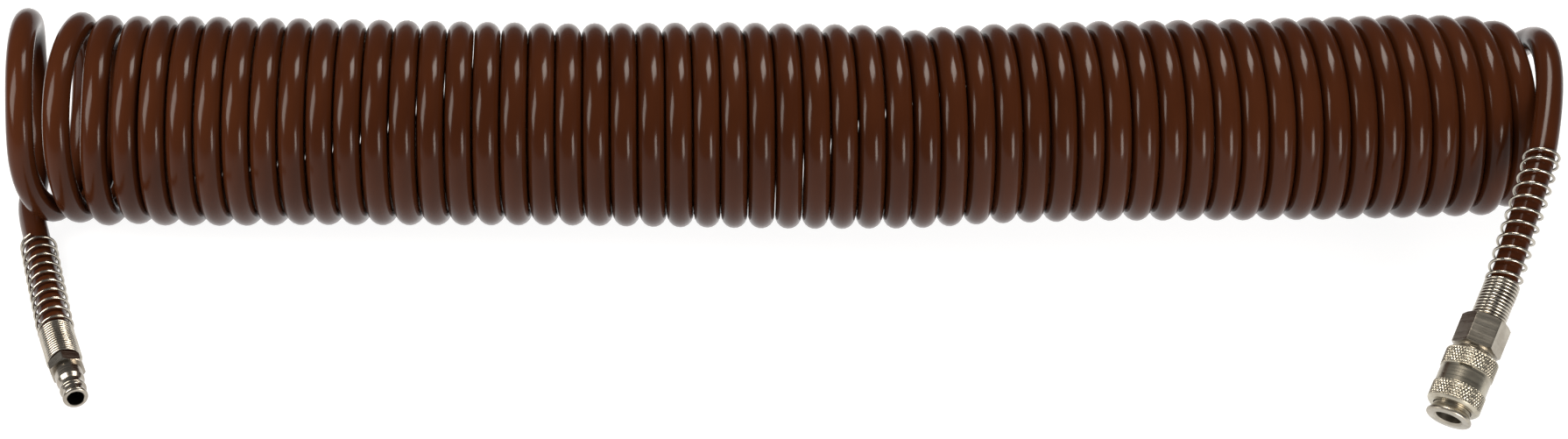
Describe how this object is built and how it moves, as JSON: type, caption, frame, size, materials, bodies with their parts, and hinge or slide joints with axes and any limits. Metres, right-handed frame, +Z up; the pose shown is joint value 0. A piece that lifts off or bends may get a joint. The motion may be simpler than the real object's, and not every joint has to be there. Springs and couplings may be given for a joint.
{
  "type": "air hose",
  "caption": "Coiled compressed-air hose with bend-protection springs, a quick-coupler plug and a quick-coupler socket whose knurled sleeve slides back.",
  "frame": {"origin": "on the floor, under the middle of the hose's box", "axes": "+X along the coil from the plug end to the coupler end, +Y to the back, away from the two free ends, +Z up"},
  "size_m": [0.7046, 0.2168, 0.097],
  "materials": {
    "hose": "glossy chocolate-brown polyurethane",
    "spring_wire": "bright nickel-plated spring wire",
    "plug_metal": "satin nickel plate, turned",
    "coupler_metal": "satin nickel plate, turned and milled",
    "sleeve_metal": "nickel plate, diamond knurl with a satin band"
  },
  "bodies": {
    "hose": {"hose_coil": "hose", "hose_tail_plug": "hose", "hose_tail_coupler": "hose", "plug_bend_spring": "spring_wire", "coupler_bend_spring": "spring_wire", "plug_nipple": "plug_metal", "coupler_body": "coupler_metal"},
    "sleeve": {"coupler_sleeve": "sleeve_metal"}
  },
  "joints": [
    {"name": "sleeve_slide", "type": "slide", "parent": "hose", "child": "sleeve", "axis": [0.4204, 0.7679, 0.4833], "range_m": [0, 0.0024], "stiffness_N_per_m": 800, "springref_m": -0.004}
  ]
}
